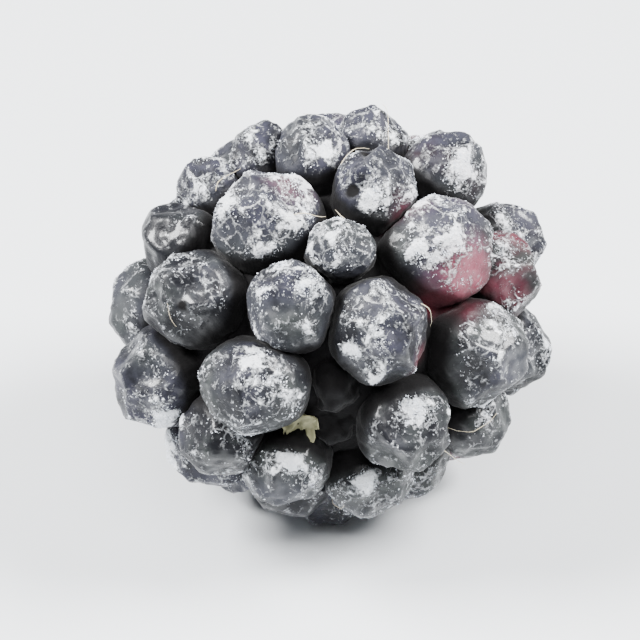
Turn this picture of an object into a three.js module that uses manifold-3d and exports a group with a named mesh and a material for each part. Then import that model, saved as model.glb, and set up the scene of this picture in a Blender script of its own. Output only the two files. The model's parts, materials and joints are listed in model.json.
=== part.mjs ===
// A bramble berry lying on its side: a head of plump drupelets grown round a core, and the
// pale end of the receptacle that shows in the hollow where the stalk came away.
// Millimetres, +Z up. The berry's axis runs along Y, tip towards -Y, stalk end towards +Y.
// It rests at Z = 0 on three low drupelets that lying has pressed flat.

import * as THREE from 'three';
import { mergeVertices } from 'three/addons/utils/BufferGeometryUtils.js';
import Module from 'manifold-3d';

const wasm = await Module();
wasm.setup();

// The whole berry
const berryWidth = 22.6;
const berryLength = 24.6;
const berryHeight = 21.9;
const shoulderTaper = 0.05; // the stalk half is this much fuller than the middle
const coreDepth = 3.3; // from the berry's outside down to the core between drupelets
const coreDetail = 3; // subdivisions of its twenty-sided start

// A usual drupelet
const drupeletSize = 4.9; // across
const drupeletDepth = 5.9; // along the line out of the berry, root included
const drupeletPlumpness = 2.2; // 2 is an ellipsoid, more is fuller at the shoulders
const drupeletSeam = 0.12; // gap left between two that press on each other
const pressRounding = 0.45; // how softly a pressed side turns into the dome
const sizeSpread = 0.09; // a drupelet is up to this part larger or smaller
const reliefSpread = 0.35; // and stands this much further out or in
const drupeletTotal = 51; // of full size
const gapRoom = 0.95; // where this much room is left beside them, a small one fills it
const gapSink = 0.5;
const drupeletSides = 12; // round it
const drupeletRings = 7; // from its crown to its root

// The trio that the berry lies on, spread round the point below its middle
const restSpread = 22; // degrees from straight down
const restSize = 4.9;
const restFlatDepth = 0.35;

// The stalk end
const collarCount = 7;
const collarAngle = 37; // degrees from the axis
const collarSize = 4.6;
const plugRadius = 2.5;
const plugLength = 3.4;
const plugSink = 2.0; // its face lies this far inside the berry's end
const plugLobes = 7;
const plugLobeDepth = 0.22;
const plugClearance = 0.3;

// The side that shows best: where it is seen from, in degrees, and what is seen there
const faceAzimuth = 60;
const faceElevation = 38;
const faceRadius = 9.5; // middles of rim drupelets are this far from the middle of the face
const faceDrupelets = [
  // across the face, up the face, width, height, how far it is sunk
  [-2.1, 0.5, 4.3, 4.6, 0],
  [2.8, -0.8, 4.9, 5.4, 0],
  [0.6, 3.6, 3.5, 2.9, 0.3],
  [-3.7, 5.4, 5.9, 5.3, -0.2],
  [-7.1, 0.9, 5.5, 5.0, 0],
  [-3.9, -3.6, 5.6, 4.7, -0.2],
  [4.3, -6.0, 5.1, 5.0, 0],
  [6.1, 3.7, 6.1, 5.4, 0],
  [2.6, 7.0, 4.2, 4.5, 0],
  [5.9, 7.3, 4.5, 4.8, -0.4],
  [-3.6, 8.7, 4.4, 4.0, 0.1],
  [-6.5, 6.8, 4.2, 4.0, 0.1],
  [-8.2, 4.1, 4.6, 4.4, 0.3],
  [-0.9, 8.9, 3.9, 4.5, 0],
  [2.3, 9.2, 3.8, 3.6, 0],
  [8.8, 3.7, 4.5, 5.0, 0],
  [8.0, -1.9, 5.6, 5.8, 0],
  [7.7, -5.4, 4.2, 4.1, 0.3],
  [-8.3, -3.1, 5.0, 5.4, -0.2],
  [-5.5, -6.0, 4.8, 4.3, 0.3],
  [-2.4, -7.9, 4.6, 4.1, 0],
  [2.2, -8.9, 4.8, 4.1, 0],
  [0.3, -4.3, 2.8, 3.2, 2.1],
  [0.2, -6.7, 2.6, 2.8, 2.3],
];

const skinColour = 0x3b3d46;
const receptacleColour = 0xd8c79a;

const degree = Math.PI / 180;
const halfWidth = berryWidth / 2;
const halfLength = berryLength / 2;
const halfHeight = berryHeight / 2;
const middleRadius = (halfWidth + halfLength + halfHeight) / 3 - drupeletSize / 2;
const goldenAngle = Math.PI * (3 - Math.sqrt(5));
const stalkWay = new THREE.Vector3(0, 1, 0);

// Seeded draws between -1 and 1
let drawState = 20417;
function draw() {
  drawState = (drawState * 1664525 + 1013904223) % 4294967296;
  return (drawState / 4294967296) * 2 - 1;
}

// How far the berry's outside is from its middle, in one direction
function outerRadius(way) {
  const girth = 1 + shoulderTaper * way.y;
  return 1 / Math.hypot(way.x / (halfWidth * girth), way.y / halfLength, way.z / (halfHeight * girth));
}

// The face's own directions: across it, up it and out of it towards the viewer
function faceDirections() {
  const azimuth = faceAzimuth * degree;
  const elevation = faceElevation * degree;
  const across = new THREE.Vector3(Math.cos(azimuth), Math.sin(azimuth), 0);
  const out = new THREE.Vector3(
    Math.sin(azimuth) * Math.cos(elevation),
    -Math.cos(azimuth) * Math.cos(elevation),
    Math.sin(elevation),
  );
  const up = new THREE.Vector3().crossVectors(out, across);
  return { across, up, out };
}

// Drupelets whose places are known: those on the face, the trio below and the collar
function placedDrupelets() {
  const { across, up, out } = faceDirections();
  const placed = [];
  for (const [right, rise, width, height, sink] of faceDrupelets) {
    const outward = Math.sqrt(Math.max(faceRadius ** 2 - right ** 2 - rise ** 2, 0));
    const way = new THREE.Vector3();
    way.addScaledVector(across, right).addScaledVector(up, rise).addScaledVector(out, outward);
    placed.push({ way: way.normalize(), width, height, sink, side: across, fixed: true });
  }
  for (let index = 0; index < 3; index += 1) {
    const turn = (index / 3) * 2 * Math.PI + Math.PI / 2;
    const lean = restSpread * degree;
    const way = new THREE.Vector3(
      Math.sin(lean) * Math.cos(turn),
      Math.sin(lean) * Math.sin(turn),
      -Math.cos(lean),
    );
    const size = { width: restSize, height: restSize, sink: 0 };
    placed.push({ way, ...size, side: stalkWay, fixed: true, rests: true });
  }
  for (let index = 0; index < collarCount; index += 1) {
    const turn = (index / collarCount) * 2 * Math.PI + 0.12 * draw();
    const lean = (collarAngle + 1.5 * draw()) * degree;
    const way = new THREE.Vector3(
      Math.sin(lean) * Math.cos(turn),
      Math.cos(lean),
      Math.sin(lean) * Math.sin(turn),
    );
    const size = collarSize * (1 + 0.5 * sizeSpread * draw());
    placed.push({ way, width: size, height: size, sink: 0.3 * draw(), side: stalkWay, fixed: false });
  }
  return placed;
}

function meanSize(drupelet) {
  return (drupelet.width + drupelet.height) / 2;
}

// The hollow of the stalk end takes room among the drupelets but is none itself
const hollow = { way: stalkWay, width: 2 * plugRadius + 1, height: 2 * plugRadius + 1, fixed: true };

// Spots spread evenly over the berry, on a golden-angle spiral from tip to stalk
function spiralSpots(spotCount) {
  const spots = [];
  for (let index = 0; index < spotCount; index += 1) {
    const along = 1 - (2 * (index + 0.5)) / spotCount;
    const round = Math.sqrt(1 - along * along);
    const turn = index * goldenAngle;
    spots.push(new THREE.Vector3(round * Math.cos(turn), along, round * Math.sin(turn)));
  }
  return spots;
}

// The spot furthest from every drupelet's edge, and how far that is
function roomiestSpot(spots, drupelets) {
  let best = { room: -Infinity };
  for (const spot of spots) {
    let room = Infinity;
    for (const other of [...drupelets, hollow]) {
      room = Math.min(room, spot.angleTo(other.way) * middleRadius - meanSize(other) / 2);
    }
    if (room > best.room) best = { spot, room };
  }
  return best;
}

// New drupelets grow one after another where there is most room
function growDrupelets(drupelets) {
  const spots = spiralSpots(900);
  while (drupelets.length < drupeletTotal) {
    const size = drupeletSize * (1 + sizeSpread * draw());
    const oval = 0.05 * draw();
    drupelets.push({
      way: roomiestSpot(spots, drupelets).spot.clone(),
      width: size * (1 + oval),
      height: size * (1 - oval),
      sink: reliefSpread * draw(),
      side: new THREE.Vector3(draw(), draw(), draw()).normalize(),
      fixed: false,
    });
  }
}

// Small drupelets fill the gaps that are left between the settled ones
function fillGaps(drupelets) {
  const spots = spiralSpots(2400);
  for (;;) {
    const { spot, room } = roomiestSpot(spots, drupelets);
    if (room < gapRoom) return;
    const size = 2 * room + 0.5;
    const side = new THREE.Vector3(draw(), draw(), draw()).normalize();
    drupelets.push({ way: spot.clone(), width: size, height: size, sink: gapSink, side });
  }
}

// They swell and push one another aside until they lie evenly, round those that are placed
function settleDrupelets(drupelets) {
  const rounds = 160;
  const reach = 1.25; // they push within this many of their own sizes
  const stiffness = 0.16;
  const push = new THREE.Vector3();
  const away = new THREE.Vector3();
  for (let round = 0; round < rounds; round += 1) {
    for (const drupelet of drupelets) {
      if (drupelet.fixed) continue;
      push.set(0, 0, 0);
      for (const other of [...drupelets, hollow]) {
        if (other === drupelet) continue;
        const distance = drupelet.way.angleTo(other.way) * middleRadius;
        const wanted = ((meanSize(drupelet) + meanSize(other)) / 2) * reach;
        if (distance >= wanted) continue;
        away.subVectors(drupelet.way, other.way).normalize();
        push.addScaledVector(away, ((wanted - distance) * stiffness) / middleRadius);
      }
      drupelet.way.add(push).normalize();
    }
  }
}

// Gives each drupelet its middle, its own axes and its half sizes
function shapeDrupelets(drupelets) {
  for (const drupelet of drupelets) {
    const depth = drupeletDepth * (0.35 + (0.65 * meanSize(drupelet)) / drupeletSize);
    const top = outerRadius(drupelet.way) - drupelet.sink;
    drupelet.out = drupelet.way.clone();
    drupelet.right = drupelet.side.clone();
    drupelet.right.addScaledVector(drupelet.out, -drupelet.right.dot(drupelet.out)).normalize();
    drupelet.up = new THREE.Vector3().crossVectors(drupelet.out, drupelet.right);
    drupelet.half = [drupelet.width / 2, drupelet.height / 2, depth / 2];
    drupelet.middle = drupelet.way.clone().multiplyScalar(top - depth / 2);
    if (drupelet.rests) {
      const [a, b, c] = drupelet.half;
      const drop = Math.hypot(a * drupelet.right.z, b * drupelet.up.z, c * drupelet.out.z);
      drupelet.middle.z = drop - halfHeight;
    }
  }
}

// Walls between a drupelet and its neighbours, each as a direction and a distance
function pressingWalls(drupelet, drupelets) {
  const walls = [];
  for (const other of drupelets) {
    if (other === drupelet) continue;
    const way = new THREE.Vector3().subVectors(other.middle, drupelet.middle);
    const distance = way.length();
    if (distance > (meanSize(drupelet) + meanSize(other)) * 0.75) continue;
    const share = meanSize(drupelet) / (meanSize(drupelet) + meanSize(other));
    walls.push({ way: way.normalize(), distance: distance * share - drupeletSeam / 2 });
  }
  return walls;
}

function softLower(first, second, rounding) {
  const overlap = Math.max(rounding - Math.abs(first - second), 0) / rounding;
  return Math.min(first, second) - (overlap * overlap * rounding) / 4;
}

// A point of a drupelet's skin in a direction given along the berry's own axes
function skinPoint(drupelet, walls, way) {
  const [a, b, c] = drupelet.half;
  const power = drupeletPlumpness;
  const sum =
    Math.abs(way.dot(drupelet.right) / a) ** power +
    Math.abs(way.dot(drupelet.up) / b) ** power +
    Math.abs(way.dot(drupelet.out) / c) ** power;
  let radius = sum ** (-1 / power);
  for (const wall of walls) {
    const facing = way.dot(wall.way);
    if (facing > 0.15) radius = softLower(radius, wall.distance / facing, pressRounding);
  }
  return way.clone().multiplyScalar(radius).add(drupelet.middle);
}

// A ball's mesh whose points are moved by a formula
function shapedBall(ball, pointOf) {
  const geometry = withSharedPoints(ball);
  const positions = geometry.attributes.position;
  const way = new THREE.Vector3();
  for (let index = 0; index < positions.count; index += 1) {
    way.fromBufferAttribute(positions, index).normalize();
    const point = pointOf(way);
    positions.setXYZ(index, point.x, point.y, point.z);
  }
  return geometry;
}

function withSharedPoints(geometry) {
  const bare = geometry.clone();
  bare.deleteAttribute('normal');
  bare.deleteAttribute('uv');
  return mergeVertices(bare, 1e-4);
}

function toSolid(geometry) {
  const closed = withSharedPoints(geometry);
  return new wasm.Manifold(
    new wasm.Mesh({
      numProp: 3,
      vertProperties: Float32Array.from(closed.attributes.position.array),
      triVerts: Uint32Array.from(closed.index.array),
    }),
  );
}

function toGeometry(solid) {
  const mesh = solid.getMesh();
  const geometry = new THREE.BufferGeometry();
  geometry.setAttribute('position', new THREE.BufferAttribute(mesh.vertProperties, 3));
  geometry.setIndex(new THREE.BufferAttribute(mesh.triVerts, 1));
  geometry.computeVertexNormals();
  return geometry;
}

// A form turned round the berry's axis from pairs of radius and place along the axis
function turned(profile, segments) {
  const points = profile.map(([radius, along]) => new THREE.Vector2(radius, along));
  return new THREE.LatheGeometry(points, segments);
}

const plugFace = halfLength - plugSink;
const plugFoot = plugFace - plugLength;

// The receptacle's end: a tapered stub with shallow lobes and a stalk scar in its face
function plugGeometry() {
  const profile = [
    [0, plugFoot],
    [0.7 * plugRadius, plugFoot],
    [0.88 * plugRadius, plugFoot + 0.35 * plugLength],
    [plugRadius, plugFace - 0.55],
    [0.93 * plugRadius, plugFace - 0.15],
    [0.66 * plugRadius, plugFace],
    [0.36 * plugRadius, plugFace - 0.1],
    [0.22 * plugRadius, plugFace - 0.55],
    [0, plugFace - 0.6],
  ];
  const geometry = turned(profile, plugLobes * 6);
  const positions = geometry.attributes.position;
  for (let index = 0; index < positions.count; index += 1) {
    const x = positions.getX(index);
    const z = positions.getZ(index);
    const radius = Math.hypot(x, z);
    if (radius < 0.5 * plugRadius) continue;
    const lobe = (1 - Math.cos(plugLobes * Math.atan2(z, x))) / 2;
    const narrowed = 1 - (plugLobeDepth * lobe) / radius;
    positions.setXYZ(index, x * narrowed, positions.getY(index), z * narrowed);
  }
  return geometry;
}

// The room that the receptacle's end stands in, open to the outside
function hollowGeometry() {
  const radius = plugRadius + plugClearance;
  return turned(
    [
      [0, plugFoot - plugClearance],
      [0.7 * plugRadius + plugClearance, plugFoot - plugClearance],
      [radius, plugFoot + 0.35 * plugLength],
      [radius, halfLength + 2],
      [0, halfLength + 2],
    ],
    plugLobes * 6,
  );
}

// One drupelet: its ball's poles lie at the crown and the root
function drupeletGeometry(drupelet, walls) {
  const ball = new THREE.SphereGeometry(1, drupeletSides, drupeletRings);
  const turn = new THREE.Matrix4();
  turn.makeBasis(drupelet.right, drupelet.out, drupelet.up.clone().negate());
  return shapedBall(ball, (way) => skinPoint(drupelet, walls, way.applyMatrix4(turn)));
}

function headSolid() {
  const drupelets = placedDrupelets();
  growDrupelets(drupelets);
  settleDrupelets(drupelets);
  fillGaps(drupelets);
  shapeDrupelets(drupelets);
  const coreSurface = (way) => way.clone().multiplyScalar(outerRadius(way) - coreDepth);
  let head = toSolid(shapedBall(new THREE.IcosahedronGeometry(1, coreDetail), coreSurface));
  for (const drupelet of drupelets) {
    head = head.add(toSolid(drupeletGeometry(drupelet, pressingWalls(drupelet, drupelets))));
  }
  head = head.subtract(toSolid(hollowGeometry()));
  const ground = new THREE.BoxGeometry(2 * berryWidth, 2 * berryLength, berryHeight);
  ground.translate(0, 0, restFlatDepth - halfHeight - berryHeight / 2);
  return head.subtract(toSolid(ground));
}

const headShape = toGeometry(headSolid());
const head = new THREE.Mesh(
  headShape,
  new THREE.MeshStandardMaterial({ color: skinColour, roughness: 0.5, metalness: 0 }),
);
head.name = 'drupelet_head';

const plug = new THREE.Mesh(
  plugGeometry(),
  new THREE.MeshStandardMaterial({ color: receptacleColour, roughness: 0.85, metalness: 0 }),
);
plug.name = 'receptacle_end';

// The berry's middle is lifted so that the flats lie at Z = 0, and centred over the origin
headShape.computeBoundingBox();
const middle = headShape.boundingBox.getCenter(new THREE.Vector3());
const berry = new THREE.Group();
berry.position.set(-middle.x, -middle.y, halfHeight - restFlatDepth);
berry.add(head, plug);

const brambleBerry = new THREE.Group();
brambleBerry.add(berry);

export default brambleBerry;
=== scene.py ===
# A frozen bramble berry under frost: plump drupelets on a dark core, the pale end of its
# receptacle, frost crystals, and the dried threads that the flower left between drupelets.
import json
import math

import bpy
import numpy as np
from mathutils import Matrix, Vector, noise

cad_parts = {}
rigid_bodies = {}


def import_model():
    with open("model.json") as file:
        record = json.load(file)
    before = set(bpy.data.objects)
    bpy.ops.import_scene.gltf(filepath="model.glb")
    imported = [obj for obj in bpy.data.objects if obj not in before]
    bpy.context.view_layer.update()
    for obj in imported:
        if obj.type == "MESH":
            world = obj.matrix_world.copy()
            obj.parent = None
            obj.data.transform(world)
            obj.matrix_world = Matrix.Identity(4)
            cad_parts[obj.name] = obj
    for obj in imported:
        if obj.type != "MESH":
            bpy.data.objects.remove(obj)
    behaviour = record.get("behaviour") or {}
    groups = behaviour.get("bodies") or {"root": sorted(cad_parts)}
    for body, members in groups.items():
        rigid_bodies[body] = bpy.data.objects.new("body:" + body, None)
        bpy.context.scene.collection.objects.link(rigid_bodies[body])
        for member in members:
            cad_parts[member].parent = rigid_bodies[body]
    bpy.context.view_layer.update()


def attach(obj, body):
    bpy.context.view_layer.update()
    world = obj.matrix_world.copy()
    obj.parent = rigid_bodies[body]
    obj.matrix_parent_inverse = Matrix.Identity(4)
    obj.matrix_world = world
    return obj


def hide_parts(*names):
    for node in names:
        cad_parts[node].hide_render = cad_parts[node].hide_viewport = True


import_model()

mm = 0.001


# The berry's form, in millimetres. Its drupelets are placed by the same rule and draws as
# the solid's, so that each finer one grows where its plain one stands.

berry = {
    "width": 22.6,
    "length": 24.6,
    "height": 21.9,
    "shoulderTaper": 0.05,  # the stalk half is this much fuller than the middle
    "coreDepth": 3.3,       # from the outside down to the core between drupelets
    "middleLift": 0.35,     # how far the lowest drupelets are pressed flat
}

drupelet = {
    "size": 4.9,
    "depth": 5.9,
    "plumpness": 2.2,       # 2 is an ellipsoid, more is fuller at the shoulders
    "seam": 0.12,           # gap between two that press on each other
    "pressRounding": 0.45,
    "sizeSpread": 0.09,
    "reliefSpread": 0.35,
    "total": 51,
    "gapRoom": 0.95,
    "gapSink": 0.5,
    "startSeed": 20417,
}

restTrio = {"spread": 22, "size": 4.9}      # three that it lies on, degrees off the lowest point
collar = {"count": 7, "angle": 37, "size": 4.6}     # a ring round the stalk's hollow

plug = {
    "radius": 2.5,
    "length": 3.4,
    "sink": 2.0,            # its face lies this far inside the berry's end
    "room": 0.5,            # drupelets keep this far from it
    "lobes": 7,
    "lobeDepth": 0.22,
    "clearance": 0.3,
}

face = {
    "azimuth": 60,          # the side that shows best, in degrees
    "elevation": 38,
    "radius": 9.5,
    "drupelets": [
        # across the face, up the face, width, height, how far it is sunk
        (-2.1, 0.5, 4.3, 4.6, 0),
        (2.8, -0.8, 4.9, 5.4, 0),
        (0.6, 3.6, 3.5, 2.9, 0.3),
        (-3.7, 5.4, 5.9, 5.3, -0.2),
        (-7.1, 0.9, 5.5, 5.0, 0),
        (-3.9, -3.6, 5.6, 4.7, -0.2),
        (4.3, -6.0, 5.1, 5.0, 0),
        (6.1, 3.7, 6.1, 5.4, 0),
        (2.6, 7.0, 4.2, 4.5, 0),
        (5.9, 7.3, 4.5, 4.8, -0.4),
        (-3.6, 8.7, 4.4, 4.0, 0.1),
        (-6.5, 6.8, 4.2, 4.0, 0.1),
        (-8.2, 4.1, 4.6, 4.4, 0.3),
        (-0.9, 8.9, 3.9, 4.5, 0),
        (2.3, 9.2, 3.8, 3.6, 0),
        (8.8, 3.7, 4.5, 5.0, 0),
        (8.0, -1.9, 5.6, 5.8, 0),
        (7.7, -5.4, 4.2, 4.1, 0.3),
        (-8.3, -3.1, 5.0, 5.4, -0.2),
        (-5.5, -6.0, 4.8, 4.3, 0.3),
        (-2.4, -7.9, 4.6, 4.1, 0),
        (2.2, -8.9, 4.8, 4.1, 0),
        (0.3, -4.3, 2.8, 3.2, 2.1),
        (0.2, -6.7, 2.6, 2.8, 2.3),
    ],
}

# How the same drupelets look: share of frost, share of pale bloom, wine-red blush
faceLooks = [
    (0.45, 0.65, 0), (0.50, 0.45, 0), (0.75, 0.95, 0), (1.00, 0.80, 0.08), (0.35, 0.15, 0),
    (0.70, 0.45, 0), (0.40, 0.35, 0), (0.95, 0.85, 0.06), (0.85, 0.60, 0), (0.50, 0.40, 0.20),
    (0.70, 0.35, 0), (0.80, 0.45, 0), (0.15, 0.10, 0), (0.70, 0.75, 0), (0.70, 0.50, 0),
    (0.75, 0.60, 0.20), (0.60, 0.50, 0.04), (0.45, 0.30, 0.10), (0.60, 0.50, 0), (0.55, 0.20, 0),
    (0.60, 0.80, 0), (0.60, 0.65, 0), (0.00, 0.00, 0), (0.00, 0.00, 0),
]

halfWidth = berry["width"] / 2
halfLength = berry["length"] / 2
halfHeight = berry["height"] / 2
middleRadius = (halfWidth + halfLength + halfHeight) / 3 - drupelet["size"] / 2
stalkWay = np.array([0.0, 1.0, 0.0])
drawState = drupelet["startSeed"]


def draw():
    # seeded, between -1 and 1
    global drawState
    drawState = (drawState * 1664525 + 1013904223) % 4294967296
    return (drawState / 4294967296) * 2 - 1


def unit(vector):
    return vector / np.linalg.norm(vector)


def angleBetween(first, second):
    return math.acos(max(-1.0, min(1.0, float(np.dot(first, second)))))


def outerRadius(ways):
    # how far the berry's outside is from its middle, one way or many
    ways = np.atleast_2d(ways)
    girth = 1 + berry["shoulderTaper"] * ways[:, 1]
    stretched = np.stack([ways[:, 0] / (halfWidth * girth), ways[:, 1] / halfLength,
                          ways[:, 2] / (halfHeight * girth)], axis=1)
    return 1 / np.linalg.norm(stretched, axis=1)


def faceDirections():
    azimuth = math.radians(face["azimuth"])
    elevation = math.radians(face["elevation"])
    across = np.array([math.cos(azimuth), math.sin(azimuth), 0.0])
    out = np.array([math.sin(azimuth) * math.cos(elevation),
                    -math.cos(azimuth) * math.cos(elevation), math.sin(elevation)])
    return across, np.cross(out, across), out


def wayOnFace(right, rise):
    across, up, out = faceDirections()
    outward = math.sqrt(max(face["radius"] ** 2 - right ** 2 - rise ** 2, 0.0))
    return unit(across * right + up * rise + out * outward)


def leaningWay(lean, turn, pole):
    # a direction at an angle from straight down, or from the stalk
    first = math.sin(lean) * math.cos(turn)
    second = math.sin(lean) * math.sin(turn)
    if pole == "down":
        return np.array([first, second, -math.cos(lean)])
    return np.array([first, math.cos(lean), second])


def newDrupelet(way, width, height, sink, side, **more):
    one = {"way": way, "width": width, "height": height, "sink": sink, "side": side, "fixed": False}
    one.update(more)
    return one


def placedDrupelets():
    # those on the face, the trio below and the collar round the stalk's hollow
    across = faceDirections()[0]
    placed = [newDrupelet(wayOnFace(right, rise), width, height, sink, across, fixed=True)
              for right, rise, width, height, sink in face["drupelets"]]
    for index in range(3):
        turn = index / 3 * 2 * math.pi + math.pi / 2
        way = leaningWay(math.radians(restTrio["spread"]), turn, "down")
        size = restTrio["size"]
        placed.append(newDrupelet(way, size, size, 0, stalkWay, fixed=True, rests=True))
    for index in range(collar["count"]):
        turn = index / collar["count"] * 2 * math.pi + 0.12 * draw()
        way = leaningWay(math.radians(collar["angle"] + 1.5 * draw()), turn, "stalk")
        size = collar["size"] * (1 + 0.5 * drupelet["sizeSpread"] * draw())
        placed.append(newDrupelet(way, size, size, 0.3 * draw(), stalkWay))
    return placed


def meanSize(one):
    return (one["width"] + one["height"]) / 2


hollowSize = 2 * (plug["radius"] + plug["room"])
hollow = newDrupelet(stalkWay, hollowSize, hollowSize, 0, stalkWay)


def spiralSpots(count):
    index = np.arange(count)
    along = 1 - 2 * (index + 0.5) / count
    around = np.sqrt(1 - along * along)
    turn = index * math.pi * (3 - math.sqrt(5))
    return np.stack([around * np.cos(turn), along, around * np.sin(turn)], axis=1)


def roomiestSpot(spots, drupelets):
    room = np.full(len(spots), np.inf)
    for other in drupelets + [hollow]:
        angle = np.arccos(np.clip(spots @ other["way"], -1, 1))
        room = np.minimum(room, angle * middleRadius - meanSize(other) / 2)
    best = int(np.argmax(room))
    return spots[best].copy(), float(room[best])


def randomSide():
    return unit(np.array([draw(), draw(), draw()]))


def growDrupelets(drupelets):
    # one after another where there is most room
    spots = spiralSpots(900)
    while len(drupelets) < drupelet["total"]:
        size = drupelet["size"] * (1 + drupelet["sizeSpread"] * draw())
        oval = 0.05 * draw()
        spot = roomiestSpot(spots, drupelets)[0]
        sink = drupelet["reliefSpread"] * draw()
        drupelets.append(newDrupelet(spot, size * (1 + oval), size * (1 - oval), sink, randomSide()))


settling = {"rounds": 160, "reach": 1.25, "stiffness": 0.16}


def settleDrupelets(drupelets):
    # they push one another aside until they lie evenly round those that are placed
    stiffness = settling["stiffness"]
    for _ in range(settling["rounds"]):
        for one in drupelets:
            if one["fixed"]:
                continue
            push = np.zeros(3)
            for other in drupelets + [hollow]:
                if other is one:
                    continue
                distance = angleBetween(one["way"], other["way"]) * middleRadius
                wanted = (meanSize(one) + meanSize(other)) / 2 * settling["reach"]
                if distance < wanted:
                    aside = unit(one["way"] - other["way"])
                    push += aside * (wanted - distance) * stiffness / middleRadius
            one["way"] = unit(one["way"] + push)


def fillGaps(drupelets):
    spots = spiralSpots(2400)
    while True:
        spot, room = roomiestSpot(spots, drupelets)
        if room < drupelet["gapRoom"]:
            return
        size = 2 * room + 0.5
        drupelets.append(newDrupelet(spot, size, size, drupelet["gapSink"], randomSide()))


def shapeDrupelets(drupelets):
    # each one's middle, its own axes as rows, and its half sizes
    for one in drupelets:
        depth = drupelet["depth"] * (0.35 + 0.65 * meanSize(one) / drupelet["size"])
        top = float(outerRadius(one["way"])[0]) - one["sink"]
        out = one["way"]
        right = unit(one["side"] - out * np.dot(one["side"], out))
        one["axes"] = np.stack([right, np.cross(out, right), out])
        one["half"] = np.array([one["width"], one["height"], depth]) / 2
        one["middle"] = out * (top - depth / 2)
        if one.get("rests"):
            one["middle"][2] = np.linalg.norm(one["half"] * one["axes"][:, 2]) - halfHeight


def pressingWalls(one, drupelets):
    walls = []
    for other in drupelets:
        if other is one:
            continue
        between = other["middle"] - one["middle"]
        distance = np.linalg.norm(between)
        if distance <= (meanSize(one) + meanSize(other)) * 0.75:
            share = meanSize(one) / (meanSize(one) + meanSize(other))
            walls.append((between / distance, distance * share - drupelet["seam"] / 2))
    return walls


def softLower(first, second, rounding):
    overlap = np.maximum(rounding - np.abs(first - second), 0) / rounding
    return np.minimum(first, second) - overlap * overlap * rounding / 4


def skinRadius(one, walls, ways):
    # how far a drupelet's skin is from its middle in each direction
    power = drupelet["plumpness"]
    radius = np.sum(np.abs(ways @ one["axes"].T / one["half"]) ** power, axis=1) ** (-1 / power)
    for wallWay, distance in walls:
        facing = ways @ wallWay
        ahead = facing > 0.15
        radius[ahead] = softLower(radius[ahead], distance / facing[ahead], drupelet["pressRounding"])
    return radius


# Freezing draws a drupelet's skin into flat facets with low ridges between them

facets = {
    "around": 6,
    "lean": 50,             # degrees from the crown to the facets round it
    "leanSpread": 12,
    "crownLean": 14,
    "turnSpread": 0.35,     # radians
    "cut": (0.865, 0.955),  # how near its middle a facet lies, as part of the round form
    "rounding": 0.16,       # millimetres, as the rest
    "ridgeWidth": 0.11,
    "edge": 0.12,           # how soon a facet's ridges fade outside it
    "dish": (0.02, 0.24),   # how hollow they are between their ridges
    "dishReach": 0.7,
}


def drawFacets(one):
    # each facet as a direction in the drupelet's own axes and a distance
    low, high = facets["cut"]
    planes = []
    for index in range(facets["around"] + 1):
        turn = index / facets["around"] * 2 * math.pi + facets["turnSpread"] * draw()
        lean = math.radians(facets["lean"] + facets["leanSpread"] * draw())
        if index == facets["around"]:
            lean = math.radians(facets["crownLean"] * draw())
        flat = math.sin(lean)
        way = np.array([flat * math.cos(turn), flat * math.sin(turn), math.cos(lean)])
        reach = np.linalg.norm(way * one["half"])
        planes.append((way, reach * (low + (high - low) * (0.5 + 0.5 * draw()))))
    return planes


def cutFacets(one, radius, ways):
    # the faceted radius, how near each direction is to a ridge and to a hollow, from 0 to 1
    local = ways @ one["axes"].T
    nearest = np.full(len(ways), np.inf)
    second = np.full(len(ways), np.inf)
    for way, distance in one["facets"]:
        facing = local @ way
        reach = np.where(facing > 0.2, distance / np.maximum(facing, 0.2), np.inf)
        second = np.minimum(second, np.maximum(nearest, reach))
        nearest = np.minimum(nearest, reach)
        ahead = facing > 0.2
        radius[ahead] = softLower(radius[ahead], reach[ahead], facets["rounding"])
    onFacet = np.exp(-np.clip(nearest - radius, 0, None) / facets["edge"])
    between = np.where(np.isfinite(second), second - nearest, 9.0)
    hollowed = np.clip(between / facets["dishReach"], 0, 1) ** 1.5 * onFacet
    ridge = np.exp(-(between / facets["ridgeWidth"]) ** 2) * onFacet
    return radius - one["dish"] * hollowed, ridge, hollowed


# Small helpers for the Blender work

def makeActive(piece):
    bpy.ops.object.select_all(action="DESELECT")
    bpy.context.view_layer.objects.active = piece
    piece.select_set(True)


def newPiece(name):
    # the primitive that was just added, named
    piece = bpy.context.active_object
    piece.name = name
    piece.data.name = name
    return piece


def readPoints(mesh):
    points = np.empty(len(mesh.vertices) * 3, dtype=np.float32)
    mesh.vertices.foreach_get("co", points)
    return points.reshape(-1, 3).astype(np.float64)


def writePoints(mesh, points):
    mesh.vertices.foreach_set("co", np.asarray(points, dtype=np.float32).ravel())
    mesh.update()


def applyModifiers(piece):
    makeActive(piece)
    for modifier in list(piece.modifiers):
        bpy.ops.object.modifier_apply(modifier=modifier.name)


def joinPieces(pieces, name):
    makeActive(pieces[0])
    for piece in pieces[1:]:
        piece.select_set(True)
    bpy.ops.object.join()
    return newPiece(name)


def lumps(points, size, seed, octaves=3):
    # smooth noise about -1 to 1 at each point, for features of a size in millimetres
    shift = Vector((seed * 7.13, seed * 3.71, seed * 5.37))
    return np.array([noise.fractal(Vector(point) / size + shift, 0.9, 2.0, octaves)
                     for point in points])


def storeValues(mesh, name, values):
    attribute = mesh.attributes.new(name, "FLOAT", "POINT")
    attribute.data.foreach_set("value", np.asarray(values, dtype=np.float32))


# The camera looks down on the side that shows best, as the photograph does

camera = {"lens": 180, "fieldWidth": 33.5, "sensorWidth": 36}


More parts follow.
